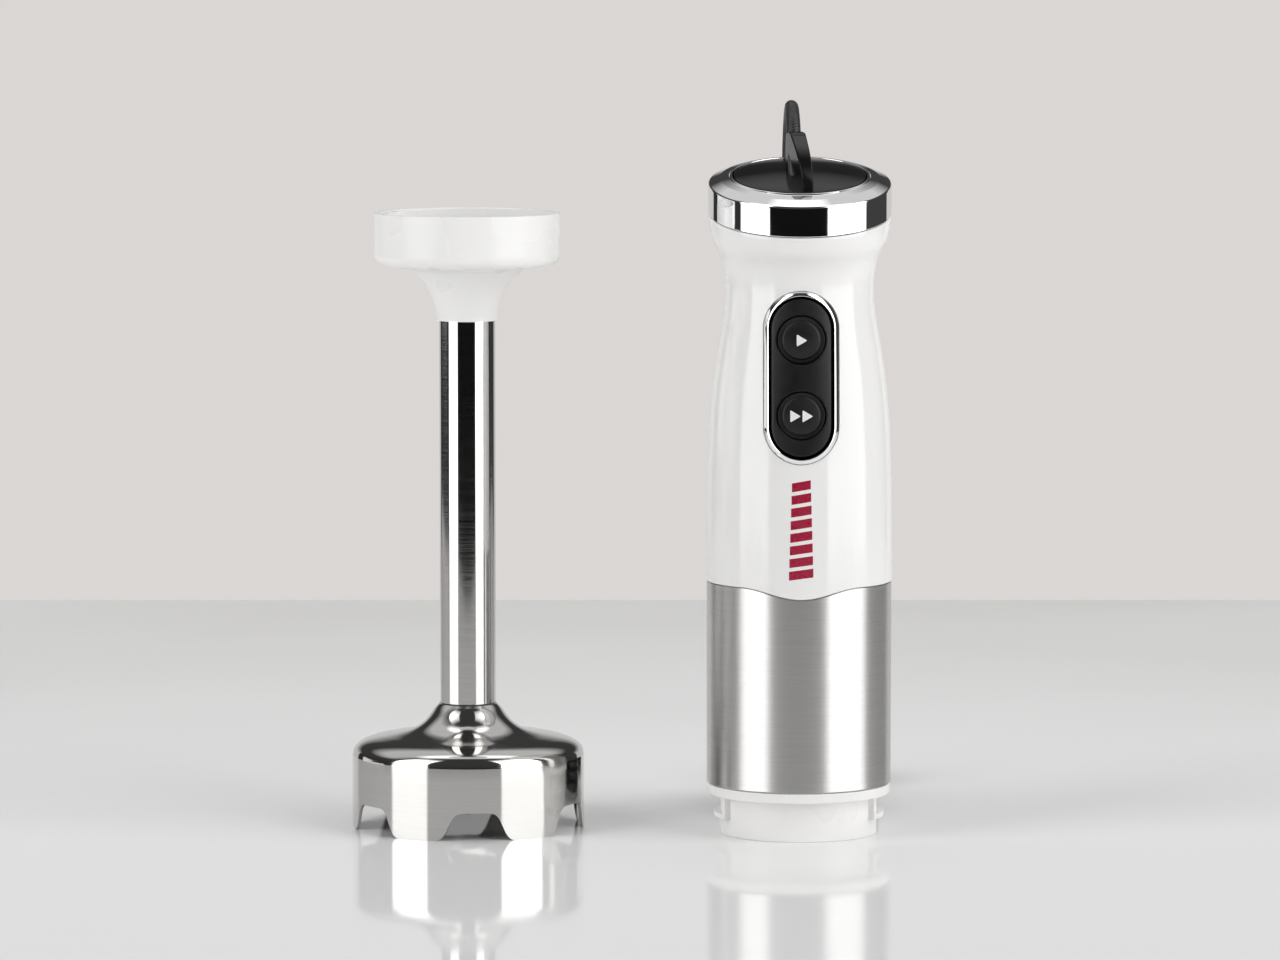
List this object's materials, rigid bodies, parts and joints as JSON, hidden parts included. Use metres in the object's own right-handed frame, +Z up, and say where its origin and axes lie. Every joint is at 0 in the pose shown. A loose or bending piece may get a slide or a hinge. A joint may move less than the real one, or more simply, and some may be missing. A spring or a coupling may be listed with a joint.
{
  "type": "immersion blender",
  "caption": "Immersion blender as a waisted motor unit with two buttons beside its detached blending foot, with a stored mains cord.",
  "frame": {"origin": "bottom centre of the box round the motor unit and the foot, without the cord", "axes": "+Z up both axes, -Y towards the buttons' side, +X from the foot to the motor unit"},
  "size_m": [0.1668, 0.176, 0.225],
  "materials": {
    "white_gloss_plastic": "high gloss, white",
    "white_satin_plastic": "satin, white",
    "black_gloss_plastic": "high gloss, black",
    "black_soft_rubber": "satin, soft touch",
    "black_cord": "smooth PVC sheath",
    "chrome_trim": "mirror bright plating",
    "brushed_steel": "brushed round the body",
    "polished_steel": "polished, with faint drawing lines",
    "shaft_steel": "ground",
    "lamination_steel": "stacked sheet",
    "copper_winding": "enamelled copper wire",
    "sintered_bronze": "matt, oil-filled",
    "brass_contact": "drawn",
    "carbon": "pressed carbon",
    "board_laminate": "solder mask",
    "film_capacitor": "moulded case",
    "grey_moulding": "glass-filled nylon",
    "seal_rubber": "matt"
  },
  "bodies": {
    "motor_unit": {"handle_shell": "white_gloss_plastic", "body_sleeve": "brushed_steel", "top_ring": "chrome_trim", "top_cap": "black_gloss_plastic", "cord_guard": "black_gloss_plastic", "button_bezel": "chrome_trim", "button_panel": "black_soft_rubber", "return_spring_on": "shaft_steel", "return_spring_turbo": "shaft_steel", "bayonet_collar": "white_satin_plastic", "lower_bracket": "grey_moulding", "upper_bracket": "grey_moulding", "bearing_lower": "shaft_steel", "bearing_upper": "shaft_steel", "stator_core": "lamination_steel", "field_coil_front": "copper_winding", "field_coil_rear": "copper_winding", "motor_bolt_front": "shaft_steel", "motor_bolt_rear": "shaft_steel", "brush_holder_left": "brass_contact", "brush_holder_right": "brass_contact", "carbon_brush_left": "carbon", "carbon_brush_right": "carbon", "control_board": "board_laminate", "switch_on": "grey_moulding", "switch_turbo": "grey_moulding", "noise_capacitor": "film_capacitor", "cord_clamp": "grey_moulding", "clamp_screw_left": "shaft_steel", "clamp_screw_right": "shaft_steel", "inner_cord": "black_cord", "cord_boot": "black_cord", "cord_lead": "black_cord", "cord_coil": "black_cord", "cord_tie": "black_soft_rubber", "cord_tail": "black_cord", "plug_body": "black_soft_rubber", "plug_pin_left": "brass_contact", "plug_pin_right": "brass_contact"},
    "motor_rotor": {"motor_shaft": "shaft_steel", "armature_core": "lamination_steel", "armature_winding_lower": "copper_winding", "armature_winding_upper": "copper_winding", "commutator": "brass_contact", "cooling_fan": "grey_moulding", "drive_coupling": "grey_moulding"},
    "on_button": {"button_on": "black_soft_rubber"},
    "turbo_button": {"button_turbo": "black_soft_rubber"},
    "blending_foot": {"coupling_collar": "white_satin_plastic", "foot_tube": "polished_steel", "bell_guard": "polished_steel", "bushing_upper": "sintered_bronze", "bearing_holder": "grey_moulding", "bushing_lower": "sintered_bronze", "shaft_seal": "seal_rubber"},
    "blade_shaft": {"drive_shaft": "shaft_steel", "driven_coupling": "grey_moulding", "blade": "polished_steel", "blade_nut": "shaft_steel"}
  },
  "joints": [
    {"name": "motor_spin", "type": "hinge", "parent": "motor_unit", "child": "motor_rotor", "pos_m": [0.05485, -0.01045, 0], "axis": [0, 0, 1], "continuous": true},
    {"name": "press_on", "type": "slide", "parent": "motor_unit", "child": "on_button", "axis": [0, 1, 0], "range_m": [0, 0.0015], "stiffness_N_per_m": 300, "springref_m": -0.002, "deforming": ["return_spring_on"]},
    {"name": "press_turbo", "type": "slide", "parent": "motor_unit", "child": "turbo_button", "axis": [0, 1, 0], "range_m": [0, 0.0015], "stiffness_N_per_m": 300, "springref_m": -0.002, "deforming": ["return_spring_turbo"]},
    {"name": "foot_lift", "type": "slide", "parent": "motor_unit", "child": "blending_foot", "axis": [0, 0, 1], "range_m": [0, 0.25]},
    {"name": "blade_spin", "type": "hinge", "parent": "blending_foot", "child": "blade_shaft", "pos_m": [-0.04745, 0.00355, 0], "axis": [0, 0, 1], "continuous": true}
  ]
}
